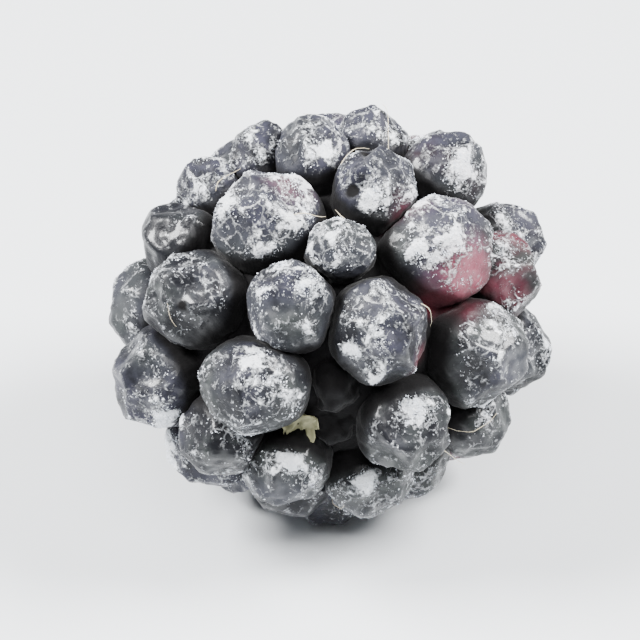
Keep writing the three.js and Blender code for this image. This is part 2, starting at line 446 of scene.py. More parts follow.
def addCamera(aim):
    out = faceDirections()[2]
    distance = camera["fieldWidth"] * camera["lens"] / camera["sensorWidth"]
    place = (np.array(aim) + out * distance) * mm
    turn = Vector(out).to_track_quat("Z", "Y").to_euler()
    bpy.ops.object.camera_add(location=place, rotation=turn)
    eye = bpy.context.active_object
    eye.data.lens = camera["lens"]
    eye.data.clip_start = 0.005
    eye.data.clip_end = 10
    bpy.context.scene.camera = eye


# The finer drupelet head

skinForm = {
    "ballCuts": 5,          # subdivisions of the twenty-sided ball that each drupelet starts as
    "coreCuts": 6,
    "swell": 0.10,          # broad unevenness of a frozen drupelet, millimetres
    "swellSize": 2.6,
    "ripple": 0.08,         # finer creases
    "rippleSize": 1.1,
    "crust": 0.14,          # how thick the frost's crust grows
    "crustSize": 0.45,
    "dimple": 0.34,         # how deep a sunken crown is
    "dimpleShare": 0.3,
    # small thawed pits: across the face, up the face, radius, depth
    "pits": [(1.2, 6.3, 0.42, 0.55), (1.7, 7.7, 0.45, 0.6), (-6.3, 0.5, 0.6, 0.3)],
}


def ballMesh(cuts, name):
    bpy.ops.object.select_all(action="DESELECT")
    bpy.ops.mesh.primitive_ico_sphere_add(subdivisions=cuts, radius=1)
    return newPiece(name)


def frozenShape(one, ways, index):
    # what freezing does to a drupelet: it swells unevenly, and some crowns sink in
    points = ways * one["half"].max() + one["middle"]
    change = skinForm["swell"] * lumps(points, skinForm["swellSize"], 1.0, 2)
    change += skinForm["ripple"] * (1 - 2 * np.abs(lumps(points, skinForm["rippleSize"], 5.0, 2)))
    if one["dimpled"]:
        lean = ways @ unit(one["axes"][2] + 0.35 * one["axes"][index % 2])
        change -= skinForm["dimple"] * np.clip((lean - 0.8) / 0.2, 0, 1) ** 1.5
    for right, rise, radius, depth in skinForm["pits"]:
        change -= depth * nearSpot(points, right, rise, radius)
    return change


def nearSpot(points, right, rise, reach):
    # 1 on the line out through a spot of the face, falling off round it
    way = wayOnFace(right, rise)
    along = points @ way
    off = np.linalg.norm(points - np.outer(along, way), axis=1)
    return np.exp(-(off / reach) ** 2) * (along > 6)


def keepOuterSkin(piece):
    # the union closes a few tiny pockets between drupelets; only what hangs on to the top stays
    top = int(np.argmax(readPoints(piece.data)[:, 2]))
    makeActive(piece)
    bpy.ops.object.mode_set(mode="EDIT")
    bpy.ops.mesh.select_mode(type="VERT")
    bpy.ops.mesh.select_all(action="DESELECT")
    bpy.ops.object.mode_set(mode="OBJECT")
    piece.data.vertices[top].select = True
    bpy.ops.object.mode_set(mode="EDIT")
    bpy.ops.mesh.select_linked()
    bpy.ops.mesh.select_all(action="INVERT")
    bpy.ops.mesh.delete(type="VERT")
    bpy.ops.object.mode_set(mode="OBJECT")


def buildHead(drupelets):
    ball = ballMesh(skinForm["ballCuts"], "drupeletBall")
    directions = readPoints(ball.data)
    directions /= np.linalg.norm(directions, axis=1)[:, None]
    plainLow, plainHigh = [], []
    copies = bpy.data.collections.new("drupeletCopies")
    bpy.context.scene.collection.children.link(copies)
    for index, one in enumerate(drupelets):
        ways = directions @ one["axes"]
        radius = skinRadius(one, pressingWalls(one, drupelets), ways)
        points = ways * radius[:, None] + one["middle"]
        plainLow.append(points.min(axis=0))
        plainHigh.append(points.max(axis=0))
        radius = cutFacets(one, radius, ways)[0]
        points = ways * radius[:, None] + one["middle"]
        points += ways * frozenShape(one, ways, index)[:, None]
        if one.get("rests"):
            floorLevel = berry["middleLift"] - halfHeight
            points[:, 2] = np.maximum(points[:, 2], floorLevel)
        copy = ball.copy()
        copy.data = ball.data.copy()
        copy.name = "drupelet"
        copies.objects.link(copy)
        writePoints(copy.data, points * mm)
    bpy.data.objects.remove(ball)

    core = ballMesh(skinForm["coreCuts"], "drupeletHead")
    ways = readPoints(core.data)
    ways /= np.linalg.norm(ways, axis=1)[:, None]
    reach = outerRadius(ways) - berry["coreDepth"] + 0.12 * lumps(ways * 9, 1.2, 9.0)
    writePoints(core.data, ways * reach[:, None] * mm)
    core.data.update()

    union = core.modifiers.new("grownTogether", "BOOLEAN")
    union.operation = "UNION"
    union.solver = "MANIFOLD"
    union.operand_type = "COLLECTION"
    union.collection = copies
    applyModifiers(core)
    for copy in list(copies.objects):
        bpy.data.objects.remove(copy)
    bpy.data.collections.remove(copies)

    bpy.ops.object.select_all(action="DESELECT")
    radius = (plug["radius"] + plug["clearance"]) * mm
    deep = halfLength - plug["sink"] - plug["length"] - plug["clearance"]
    length = (halfLength + 2 - deep) * mm
    bpy.ops.mesh.primitive_cylinder_add(vertices=64, radius=radius, depth=length,
                                        location=(0, deep * mm + length / 2, 0),
                                        rotation=(math.pi / 2, 0, 0))
    stalkRoom = newPiece("stalkRoom")
    cut = core.modifiers.new("stalkHollow", "BOOLEAN")
    cut.operation = "DIFFERENCE"
    cut.solver = "MANIFOLD"
    cut.object = stalkRoom
    applyModifiers(core)
    bpy.data.objects.remove(stalkRoom)
    keepOuterSkin(core)
    middle = (np.min(plainLow, axis=0) + np.max(plainHigh, axis=0)) / 2
    return core, np.array([-middle[0], -middle[1], halfHeight - berry["middleLift"]])


# How much frost each thing brings; with a high sum the crust is whole, with a low one bare
frostGrowth = {
    "own": 0.46,            # a drupelet's own share
    "rim": 0.28,            # on the shoulder round the crown
    "rimPlace": 0.42,
    "rimWidth": 0.24,
    "upward": 0.10,
    "ridge": 0.42,
    "patches": 0.42,
    "patchSize": 2.0,       # millimetres
    "rime": 0.8,
    "rimeReach": 0.34,      # radians
    # how strongly the painted highlights add to the frost
    "faceRime": 0.7,
    "hollowed": 0.45,       # missing in the dished facets
    "deep": 1.2,            # missing down between drupelets
    "deepFrom": 1.7,        # millimetres
    "deepOver": 0.8,
    "bare": 0.25,           # no crust below this
}


def dressHead(head, drupelets):
    # values along the skin that its finish follows
    grow = frostGrowth
    points = readPoints(head.data) / mm
    head.data.update()
    normals = np.empty(len(points) * 3, dtype=np.float32)
    head.data.vertex_normals.foreach_get("vector", normals)
    normals = normals.reshape(-1, 3)
    nearest = np.full(len(points), np.inf)
    owner = np.zeros(len(points), dtype=int)
    crown = np.zeros(len(points))
    ridge, hollowed, rime = (np.zeros(len(points)) for _ in range(3))
    for index, one in enumerate(drupelets):
        local = (points - one["middle"]) @ one["axes"].T / one["half"]
        away = np.linalg.norm(local, axis=1)
        closer = away < nearest
        nearest[closer] = away[closer]
        owner[closer] = index
        crown[closer] = (local[:, 2] / np.maximum(away, 1e-6))[closer]
    for index, one in enumerate(drupelets):
        mine = owner == index
        ways = points[mine] - one["middle"]
        reach = np.linalg.norm(ways, axis=1)
        _, ridge[mine], sunken = cutFacets(one, reach.copy(), ways / reach[:, None])
        hollowed[mine] = sunken * one["dish"] / facets["dish"][1]
        lean = np.arccos(np.clip(ways / reach[:, None] @ (one["rime"] @ one["axes"]), -1, 1))
        rime[mine] = one["rimeStrength"] * np.exp(-(lean / grow["rimeReach"]) ** 2)
    onSkin = nearest < 1.25
    crown = np.where(onSkin, crown, -0.4)
    away = np.linalg.norm(points, axis=1)
    depth = outerRadius(points / away[:, None]) - away
    # the pits count as deep too, so the painted shade of the gaps falls in them
    for right, rise, radius, _ in skinForm["pits"]:
        depth += 2.0 * nearSpot(points, right, rise, radius * 0.7)
    rim = np.exp(-((crown - grow["rimPlace"]) / grow["rimWidth"]) ** 2)
    each = {name: np.array([one[name] for one in drupelets])[owner]
            for name in ("frost", "shade", "blush")}
    patchy = lumps(points, grow["patchSize"], 8.0, 2)
    frost = grow["own"] * each["frost"] + grow["rim"] * rim + grow["upward"] * normals[:, 2]
    frost = frost + grow["ridge"] * ridge + grow["patches"] * patchy
    frost += grow["rime"] * rime - grow["hollowed"] * hollowed
    # painted highlights: extra white rime at the listed spots of the face, where light glints
    for right, rise, reach, strength in paintedHighlightSpots:
        frost += grow["faceRime"] * strength * nearSpot(points, right, rise, reach)
    frost -= grow["deep"] * np.clip((depth - grow["deepFrom"]) / grow["deepOver"], 0, 1)
    patch = np.zeros(len(points))
    for right, rise, reach, strength in blushSpots:
        patch = np.maximum(patch, strength * nearSpot(points, right, rise, reach))
    streaks = 0.5 + 0.5 * lumps(points, 1.6, 3.0, 3)
    red = np.clip(patch * (0.5 + streaks) + each["blush"] * streaks * 0.8, 0, 1)
    uneven = 0.5 + 0.5 * lumps(points, skinForm["crustSize"], 6.0, 3)
    crust = np.clip(frost - grow["bare"], 0, 1) * uneven
    points = points + normals * (skinForm["crust"] * crust)[:, None]
    writePoints(head.data, points * mm)
    # how deep the skin lies; the skin's finish paints the deep parts near black as painted shade
    storeValues(head.data, "gapDepth", np.clip(depth / berry["coreDepth"], 0, 1.2))
    # the frost level, which also holds the painted highlights of the face
    storeValues(head.data, "frost", frost)
    storeValues(head.data, "shade", each["shade"])
    storeValues(head.data, "blush", red)
    return points, normals, frost


# Where juice shows wine red: across the face, up the face, reach, strength
blushSpots = [
    (6.5, 1.9, 1.7, 0.85), (4.7, -2.2, 0.9, 0.5), (5.7, 0.7, 0.8, 0.6), (3.9, 5.5, 1.0, 0.35),
    (-2.0, 6.2, 1.1, 0.3), (6.2, 5.0, 1.1, 0.22),
]

# Painted highlights on the face's drupelets, laid on as thick white rime where light glints: across
# the face, up the face, reach, strength
paintedHighlightSpots = [
    (-2.9, 1.1, 0.42, 0.9), (-1.2, 1.2, 0.5, 1.0), (2.6, 1.2, 0.6, 0.7), (1.0, -1.5, 0.4, 0.5),
    (-4.6, 5.0, 0.7, 0.9), (-2.2, 4.2, 0.9, 0.4), (-7.7, 1.6, 0.6, 0.8), (-4.6, 0.9, 0.6, 0.6),
    (3.9, -4.7, 0.7, 1.0), (5.0, -6.8, 0.5, 0.5), (6.0, 6.7, 0.8, 1.1), (2.1, 5.6, 0.7, 0.9),
    (5.3, 3.4, 0.9, 0.8), (7.2, 4.4, 0.7, 0.6), (1.9, -8.1, 0.7, 1.3), (-2.0, -7.0, 0.6, 0.9),
    (-7.3, -4.3, 0.6, 0.8), (-3.3, -2.2, 0.7, 0.7), (7.6, -0.6, 0.7, 0.5), (-0.3, 8.4, 0.6, 0.6),
]


# Frost crystals stand on the frosted shoulders

crystals = {
    "grains": 17000,
    "grainSize": (0.018, 0.065),
    "needles": 6000,
    "needleLength": (0.08, 0.26),
    "needleWidth": 0.018,
    "cluster": 0.9,         # millimetres between thick and thin growth
}


def spreadCopies(master, places, normals, sizes, chance, lean):
    # one mesh of many copies of a master, each turned and sized on its own
    corners = readPoints(master.data)
    faces = [tuple(face.vertices) for face in master.data.polygons]
    allPoints, allFaces = [], []
    for index, place in enumerate(places):
        out = unit(normals[index] + lean * chance.normal(size=3))
        right = unit(np.cross(out, chance.normal(size=3)))
        axes = np.stack([right, np.cross(out, right), out])
        allPoints.append((corners * sizes[index]) @ axes + place)
        start = index * len(corners)
        allFaces.extend(tuple(start + corner for corner in face) for face in faces)
    return np.concatenate(allPoints), allFaces


def buildCrystals(head, points, normals, frost):
    chance = np.random.default_rng(731)
    faces = np.empty(len(head.data.polygons), dtype=np.int64)
    head.data.polygons.foreach_get("loop_start", faces)
    loops = np.empty(len(head.data.loops), dtype=np.int64)
    head.data.loops.foreach_get("vertex_index", loops)
    areas = np.empty(len(head.data.polygons))
    head.data.polygons.foreach_get("area", areas)
    first, second, third = loops[faces], loops[faces + 1], loops[faces + 2]
    thick = np.clip((frost[first] + frost[second] + frost[third]) / 3, 0, 1.5)
    middles = (points[first] + points[second] + points[third]) / 3
    spread = 0.5 + 0.5 * lumps(middles, crystals["cluster"], 11.0, 2)
    weight = areas * np.clip(thick - 0.15, 0, 1) ** 2 * np.clip(spread - 0.15, 0, 1) ** 2
    weight[middles[:, 2] < berry["middleLift"] - halfHeight + 0.5] = 0
    weight /= weight.sum()

    def somewhere(count):
        chosen = chance.choice(len(weight), size=count, p=weight)
        mix = chance.dirichlet((1, 1, 1), size=count)
        corners = (first[chosen], second[chosen], third[chosen])
        place = sum(mix[:, [k]] * points[corners[k]] for k in range(3))
        normal = sum(mix[:, [k]] * normals[corners[k]] for k in range(3))
        return place, normal

    bpy.ops.object.select_all(action="DESELECT")
    bpy.ops.mesh.primitive_cone_add(vertices=4, radius1=1, depth=2)
    crystal = newPiece("frostCrystal")
    place, normal = somewhere(crystals["grains"])
    low, high = crystals["grainSize"]
    width = low + (high - low) * chance.random(len(place)) ** 2.5
    sizes = np.stack([width * chance.uniform(0.8, 2.0, len(place)), width,
                      width * chance.uniform(0.4, 1.0, len(place))], axis=1)
    grainPoints, grainFaces = spreadCopies(crystal, place, normal, sizes, chance, 0.9)
    place, normal = somewhere(crystals["needles"])
    low, high = crystals["needleLength"]
    length = low + (high - low) * chance.random(len(place)) ** 2
    width = crystals["needleWidth"] * chance.uniform(0.6, 1.3, len(place))
    sizes = np.stack([width, width, length / 2], axis=1)
    needlePoints, needleFaces = spreadCopies(crystal, place, normal, sizes, chance, 0.8)
    bpy.data.objects.remove(crystal)

    mesh = bpy.data.meshes.new("frostCrystals")
    count = len(grainPoints)
    needleFaces = [tuple(corner + count for corner in corners) for corners in needleFaces]
    mesh.from_pydata(np.concatenate([grainPoints, needlePoints]) * mm, [], grainFaces + needleFaces)
    piece = bpy.data.objects.new("frostCrystals", mesh)
    bpy.context.scene.collection.objects.link(piece)
    return piece


# The receptacle's torn end

pith = {
    "around": 112,
    "along": 64,
    "fibres": 41,
    "fibreDepth": 0.07,
    "tornDepth": 0.5,       # how uneven its face is
    "lumpSize": 0.9,
    "raggedDepth": 0.2,     # as a share of the radius
    "raggedSize": 1.7,
    "wander": 0.5,          # how unevenly its lobes stand, radians
}


def plugProfile():
    radius, length = plug["radius"], plug["length"]
    faceAt = halfLength - plug["sink"]
    foot = faceAt - length
    return [
        (0, foot), (0.7 * radius, foot), (0.88 * radius, foot + 0.35 * length),
        (radius, faceAt - 0.55), (0.93 * radius, faceAt - 0.15), (0.66 * radius, faceAt),
        (0.36 * radius, faceAt - 0.1), (0.22 * radius, faceAt - 0.55), (0, faceAt - 0.6),
    ]


def buildReceptacle():
    bpy.ops.object.select_all(action="DESELECT")
    bpy.ops.mesh.primitive_uv_sphere_add(segments=pith["around"], ring_count=pith["along"], radius=1)
    piece = newPiece("receptacleEnd")
    ball = readPoints(piece.data)
    turn = np.arctan2(ball[:, 1], ball[:, 0])
    along = np.arccos(np.clip(-ball[:, 2], -1, 1)) / math.pi
    profile = np.array(plugProfile())
    steps = np.concatenate([[0], np.cumsum(np.linalg.norm(np.diff(profile, axis=0), axis=1))])
    steps /= steps[-1]
    radius = np.interp(along, steps, profile[:, 0])
    height = np.interp(along, steps, profile[:, 1])
    wander = pith["wander"] * lumps(ball * 3, 2.0, 13.0, 2)
    lobes = (1 - np.cos(plug["lobes"] * (math.pi / 2 - turn + wander))) / 2
    radius = radius - plug["lobeDepth"] * lobes * np.clip(radius / 1.2 - 0.3, 0, 1)
    points = np.stack([radius * np.sin(turn), height, radius * np.cos(turn)], axis=1)
    fibres = np.sin(turn * pith["fibres"] + 7 * lumps(points, 0.8, 2.0, 2))
    fibres = fibres * np.clip(radius / plug["radius"], 0, 1)
    rough = lumps(points, pith["lumpSize"], 4.0, 3)
    onFace = np.clip((along - 0.5) * 4, 0, 1)
    points[:, 1] += onFace * (pith["tornDepth"] * rough + pith["fibreDepth"] * fibres)
    ragged = lumps(points + 7.0, pith["raggedSize"], 2.0, 3)
    inward = 0.05 * np.abs(rough) + 0.012 * fibres + pith["raggedDepth"] * ragged
    points[:, [0, 2]] *= (1 - inward * np.clip(radius / 0.6, 0, 1))[:, None]
    writePoints(piece.data, points * mm)
    storeValues(piece.data, "heart", np.clip(1 - radius / plug["radius"], 0, 1) * onFace)
    makeActive(piece)
    bpy.ops.object.mode_set(mode="EDIT")
    bpy.ops.mesh.select_all(action="SELECT")
    bpy.ops.mesh.normals_make_consistent(inside=False)
    bpy.ops.object.mode_set(mode="OBJECT")
    return piece


# Threads and a scrap that the flower left

threads = {
    "thickness": 0.055,
    "sides": 6,
    "steps": 14,
    "sunk": 0.3,            # how far the thick end goes into the skin
    # across the face, up the face, length, turn in degrees on the face
    "onFace": [
        (7.1, -5.4, 2.7, 35),
        (5.0, 0.1, 1.8, -38),
        (-5.3, 7.2, 1.8, 70),
        (0.6, 5.6, 1.4, 110),
    ],
    "elsewhere": 9,
    "length": (1.2, 2.6),
    "lift": (0.15, 0.6),    # how far the thin end stands off
}


def surfaceAt(way, points, reach=0.45):
    # the highest of the head's skin near a line out of the middle
    ahead = points[points @ way > 5]
    along = ahead @ way
    off = np.linalg.norm(ahead - np.outer(along, way), axis=1)
    return way * along[off < max(reach, off.min() + 0.01)].max()


def restingLine(way, along, length, points):
    # where a thread runs that lies on the skin and spans the gaps between drupelets
    steps = threads["steps"]
    share = np.arange(steps + 1) / steps
    spots = surfaceAt(way, points) + np.outer((share - 0.5) * length, along)
    ways = spots / np.linalg.norm(spots, axis=1)[:, None]
    height = [np.linalg.norm(surfaceAt(each, points, 0.2)) for each in ways]
    taut = [max(height[first] + (height[last] - height[first]) * (step - first) / max(last - first, 1)
                for first in range(step + 1) for last in range(step, steps + 1))
            for step in range(steps + 1)]
    return ways * np.array(taut)[:, None]


def threadPoints(line, along, out, length, bow, points):
    # bends a straight cylinder along a line and lifts its thin end; its own axis is z from -1 to 1
    share = (points[:, 2] + 1) / 2
    side = np.cross(out, along)
    levels = np.linspace(0, 1, len(line))
    spine = np.stack([np.interp(share, levels, line[:, axis]) for axis in range(3)], axis=1)
    spine += np.outer(bow * share ** 3 - threads["sunk"] * (1 - share) ** 4, out)
    spine += np.outer(np.sin(share * 5.0) * 0.05 * length, side)
    taper = 1 - 0.6 * share
    return spine + np.outer(points[:, 0] * taper, side) + np.outer(points[:, 1] * taper, out)


def buildThreads(points):
    chance = np.random.default_rng(52)
    radius = threads["thickness"] / 2
    bpy.ops.object.select_all(action="DESELECT")
    bpy.ops.mesh.primitive_cylinder_add(vertices=threads["sides"], radius=radius, depth=2)
    straight = newPiece("straightThread")
    makeActive(straight)
    bpy.ops.object.mode_set(mode="EDIT")
    bpy.ops.mesh.select_all(action="SELECT")
    for step in range(1, threads["steps"]):
        level = -1 + 2 * step / threads["steps"]
        bpy.ops.mesh.select_all(action="SELECT")
        bpy.ops.mesh.bisect(plane_co=(0, 0, level), plane_no=(0, 0, 1))
    bpy.ops.object.mode_set(mode="OBJECT")
    shape = readPoints(straight.data)
    across, up, _ = faceDirections()
    wanted = []
    for right, rise, length, turn in threads["onFace"]:
        angle = math.radians(turn)
        along = across * math.cos(angle) + up * math.sin(angle)
        wanted.append((wayOnFace(right, rise), along, length))
    while len(wanted) < len(threads["onFace"]) + threads["elsewhere"]:
        way = unit(chance.normal(size=3))
        if way[2] > -0.6 and way[1] < 0.8:
            wanted.append((way, unit(chance.normal(size=3)), chance.uniform(*threads["length"])))
    pieces = []
    for way, along, length in wanted:
        along = unit(along - way * np.dot(along, way))
        line = restingLine(way, along, length, points)
        copy = straight.copy()
        copy.data = straight.data.copy()
        bpy.context.scene.collection.objects.link(copy)
        laid = threadPoints(line, along, way, length, chance.uniform(*threads["lift"]), shape)
        writePoints(copy.data, laid * mm)
        pieces.append(copy)
    bpy.data.objects.remove(straight)
    return joinPieces(pieces, "driedThreads")


# A scrap of dried sepal, caught between drupelets

scrap = {
    "right": -1.55,         # its place on the face
    "rise": -6.2,
    "turn": 55,             # degrees on the face
    "length": 2.2,
    "width": 1.6,
    "thickness": 0.05,
    "curl": 0.55,
}


def buildScrap(points):
    bpy.ops.object.select_all(action="DESELECT")
    bpy.ops.mesh.primitive_grid_add(x_subdivisions=30, y_subdivisions=22, size=2)
    piece = newPiece("driedScrap")
    flat = readPoints(piece.data)
    along, out = flat[:, 0], wayOnFace(scrap["right"], scrap["rise"])
    across, up, _ = faceDirections()
    angle = math.radians(scrap["turn"])
    lengthways = across * math.cos(angle) + up * math.sin(angle)
    lengthways = unit(lengthways - out * np.dot(out, lengthways))
    ragged = 1 + 0.45 * lumps(flat * 2, 1.0, 21.0, 3)
    sideways = flat[:, 1] * np.sqrt(np.clip(1.02 - along ** 2, 0, 1)) * ragged
    lift = scrap["curl"] * (along ** 2 + 0.6 * sideways ** 2)
    lift += 0.25 * lumps(flat * 2.2, 1.0, 22.0, 3)
    start = surfaceAt(out, points) + out * 0.03
    laid = start + np.outer(along * scrap["length"] / 2, lengthways)
    laid += np.outer(sideways * scrap["width"] / 2, np.cross(out, lengthways)) + np.outer(lift, out)
    writePoints(piece.data, laid * mm)
    thick = piece.modifiers.new("thickness", "SOLIDIFY")
    thick.thickness = scrap["thickness"] * mm
    applyModifiers(piece)
    return piece


# Materials

def hexColour(code):
    parts = [int(code[k:k + 2], 16) / 255 for k in (1, 3, 5)]
    linear = [p / 12.92 if p <= 0.04045 else ((p + 0.055) / 1.055) ** 2.4 for p in parts]
    return (*linear, 1.0)


def perMm(size):
    # a texture scale for features of a size in millimetres, on coordinates in metres
    return 1000 / size


def addNode(tree, kind, settings=None, **links):
    # a node with its settings, and its inputs given as values or as other nodes' outputs
    node = tree.nodes.new(kind)
    for name, value in (settings or {}).items():
        setattr(node, name, value)
    for name, value in links.items():
        numbered = name.startswith("in") and name[2:].isdigit()
        socket = node.inputs[int(name[2:]) if numbered else name.replace("_", " ")]
        if isinstance(value, bpy.types.NodeSocket):
            tree.links.new(value, socket)
        else:
            socket.default_value = value
    return node


def newMaterial(name):
    material = bpy.data.materials.new(name)
    material.use_nodes = True
    tree = material.node_tree
    return material, tree, tree.nodes["Principled BSDF"]


def mixColours(tree, share, first, second):
    mixed = addNode(tree, "ShaderNodeMix", {"data_type": "RGBA"}, in0=share, in6=first, in7=second)
    return mixed.outputs[2]


skinColours = {
    "darkest": "#0b0b0e",
    "dark": "#1d1e23",
    "wine": "#6e2537",
    "greenBloom": "#373b39",
    "blueBloom": "#3b3b49",
    "wineBloom": "#86505c",
    "dimFrost": "#b4bac3",
    "brightFrost": "#fbfcfd",
    "wineFrost": "#ecc3c8",
    # painted shade between drupelets: near black in the deep gaps and pits, dark wine red where
    # blushed, over skin that is itself dark and bare of frost there
    "gap": "#030203",
    "wineGapShade": "#3a0c16",
}


def frozenSkin():
    # drupelet skin, waxy and juicy black, under a hazy bloom and a broken crust of hoar frost
    material, tree, shader = newMaterial("frozenBrambleSkin")
    colour = {name: hexColour(code) for name, code in skinColours.items()}
    place = addNode(tree, "ShaderNodeTexCoord").outputs["Object"]
    value = {name: addNode(tree, "ShaderNodeAttribute", {"attribute_name": name}).outputs["Fac"]
             for name in ("gapDepth", "frost", "shade", "blush")}

    def pattern(size, detail, rough):
        return addNode(tree, "ShaderNodeTexNoise", {}, Vector=place, Scale=perMm(size), Detail=detail,
                       Roughness=rough).outputs["Fac"]

    def maths(operation, first, second=0.5, third=0.5):
        return addNode(tree, "ShaderNodeMath", {"operation": operation}, in0=first, in1=second,
                       in2=third).outputs[0]

    def between(source, low, high):
        return addNode(tree, "ShaderNodeMapRange", {"interpolation_type": "SMOOTHSTEP"}, Value=source,
                       From_Min=low, From_Max=high).outputs[0]

    broad = pattern(2.4, 3, 0.5)
    crust = pattern(0.62, 7, 0.66)
    grains = pattern(0.16, 3, 0.6)
    specks = pattern(0.3, 4, 0.7)
    dapple = pattern(1.2, 3, 0.6)
    swirl = addNode(tree, "ShaderNodeTexNoise", {}, Vector=place, Scale=perMm(0.7), Detail=4.0)
    swirled = addNode(tree, "ShaderNodeVectorMath", {"operation": "MULTIPLY_ADD"},
                      in0=swirl.outputs["Color"], in1=(0.0009, 0.0009, 0.0009), in2=place).outputs[0]
    cells = addNode(tree, "ShaderNodeTexVoronoi", {"feature": "DISTANCE_TO_EDGE"}, Vector=swirled,
                    Scale=perMm(1.0)).outputs["Distance"]
    streaks = between(cells, 0.07, 0.0)

    # frost where the crust's noise and the skin's own share of frost together pass a level
    frostLevel = maths("MULTIPLY_ADD", value["frost"], 0.36, crust)
    crustMask = between(frostLevel, 0.74, 0.84)
    streakMask = maths("MULTIPLY", streaks, between(frostLevel, 0.60, 0.78))
    speckMask = maths("MULTIPLY", between(specks, 0.58, 0.66), between(frostLevel, 0.46, 0.66))
    thinMask = maths("MULTIPLY", maths("MAXIMUM", streakMask, speckMask), 0.72)
    frostMask = maths("MAXIMUM", crustMask, thinMask)
    cloudy = maths("MULTIPLY_ADD", pattern(0.9, 4, 0.6), 0.6, maths("MULTIPLY", broad, 0.4))
    bloomMask = between(maths("MULTIPLY_ADD", value["shade"], 0.24, cloudy), 0.50, 0.74)

    skin = mixColours(tree, broad, colour["darkest"], colour["dark"])
    skin = mixColours(tree, between(value["blush"], 0.05, 0.75), skin, colour["wine"])
    tint = between(pattern(6.0, 1, 0.5), 0.38, 0.62)
    bloomed = mixColours(tree, tint, colour["greenBloom"], colour["blueBloom"])
    bloomed = mixColours(tree, between(value["blush"], 0.1, 0.9), bloomed, colour["wineBloom"])
    skin = mixColours(tree, maths("MULTIPLY", bloomMask, 0.6), skin, bloomed)
    white = mixColours(tree, grains, colour["dimFrost"], colour["brightFrost"])
    white = mixColours(tree, maths("MULTIPLY", value["blush"], 0.55), white, colour["wineFrost"])
    dressed = mixColours(tree, frostMask, skin, white)
    # painted shade: the deep gaps and pits go near black (dark wine red where blushed), over skin
    # that is itself dark and bare of frost there
    gap = between(value["gapDepth"], 0.48, 0.72)
    gapShadeColour = mixColours(tree, between(value["blush"], 0.1, 0.6), colour["gap"], colour["wineGapShade"])
    dressed = mixColours(tree, gap, dressed, gapShadeColour)
    shader.inputs["Specular IOR Level"].default_value = 0.2
    tree.links.new(dressed, shader.inputs["Base Color"])

    rough = maths("MULTIPLY_ADD", frostMask, 0.3, maths("MULTIPLY_ADD", bloomMask, 0.16, 0.34))
    rough = maths("MAXIMUM", rough, maths("MULTIPLY", gap, 0.8))
    tree.links.new(rough, shader.inputs["Roughness"])
    dull = maths("MAXIMUM", gap, between(dapple, 0.60, 0.44))
    dull = maths("MAXIMUM", maths("MULTIPLY", frostMask, 0.4), dull)
    tree.links.new(maths("MULTIPLY_ADD", dull, -0.7, 0.7), shader.inputs["Coat Weight"])
    shader.inputs["Coat Roughness"].default_value = 0.13
    shader.inputs["Coat IOR"].default_value = 1.4
    shader.inputs["Sheen Weight"].default_value = 0.06
    shader.inputs["Sheen Roughness"].default_value = 0.45
    shader.inputs["IOR"].default_value = 1.42

    height = maths("MULTIPLY", frostMask, maths("MULTIPLY_ADD", grains, 0.7, 0.5))
    crustBump = addNode(tree, "ShaderNodeBump", {}, Strength=0.9, Distance=0.00016, Height=height)
    fine = maths("MULTIPLY_ADD", crust, 1.0, maths("MULTIPLY", grains, 0.35))
    fineBump = addNode(tree, "ShaderNodeBump", {}, Strength=0.55, Distance=0.00011, Height=fine,
                       Normal=crustBump.outputs["Normal"])
    tree.links.new(fineBump.outputs["Normal"], shader.inputs["Normal"])
    glazeBump = addNode(tree, "ShaderNodeBump", {}, Strength=0.4, Distance=0.00010,
                        Height=pattern(1.1, 2, 0.5))
    tree.links.new(glazeBump.outputs["Normal"], shader.inputs["Coat Normal"])
    return material


def noiseOf(tree, size, detail):
    # a pattern in the solid, for features of a size in millimetres
    place = addNode(tree, "ShaderNodeTexCoord").outputs["Object"]
    return addNode(tree, "ShaderNodeTexNoise", {}, Vector=place, Scale=perMm(size),
                   Detail=detail).outputs["Fac"]


def spreadTo(tree, source, low, high, start=0.0, end=1.0):
    # a value that runs from low to high while its source runs from start to end
    return addNode(tree, "ShaderNodeMapRange", {}, Value=source, From_Min=start, From_Max=end,
                   To_Min=low, To_Max=high).outputs[0]


def addRelief(tree, shader, height, strength, depth):
    bump = addNode(tree, "ShaderNodeBump", {}, Strength=strength, Distance=depth, Height=height)
    tree.links.new(bump.outputs["Normal"], shader.inputs["Normal"])


def hoarFrost():
    # ice grains: clear, but so small and faceted that they look white and glitter
    material, tree, shader = newMaterial("hoarFrost")
    patchy = noiseOf(tree, 0.5, 2.0)
    colour = mixColours(tree, patchy, hexColour("#bcc6d4"), hexColour("#fbfcff"))
    tree.links.new(colour, shader.inputs["Base Color"])
    tree.links.new(spreadTo(tree, patchy, 0.18, 0.5), shader.inputs["Roughness"])
    shader.inputs["IOR"].default_value = 1.31
    return material


def driedThread():
    # a dried style: pale straw, dull and fibrous
    material, tree, shader = newMaterial("driedStraw")
    streaks = noiseOf(tree, 0.4, 3.0)
    colour = mixColours(tree, streaks, hexColour("#9c8a63"), hexColour("#efe7d2"))
    tree.links.new(colour, shader.inputs["Base Color"])
    tree.links.new(spreadTo(tree, streaks, 0.6, 0.85), shader.inputs["Roughness"])
    addRelief(tree, shader, streaks, 0.4, 0.00003)
    return material


def driedSepal():
    # a scrap of green that dried to olive straw
    material, tree, shader = newMaterial("driedSepal")
    mottle = noiseOf(tree, 0.5, 4.0)
    colour = mixColours(tree, mottle, hexColour("#3c3d22"), hexColour("#b3b08a"))
    tree.links.new(colour, shader.inputs["Base Color"])
    tree.links.new(spreadTo(tree, mottle, 0.55, 0.85), shader.inputs["Roughness"])
    addRelief(tree, shader, mottle, 0.5, 0.00005)
    return material


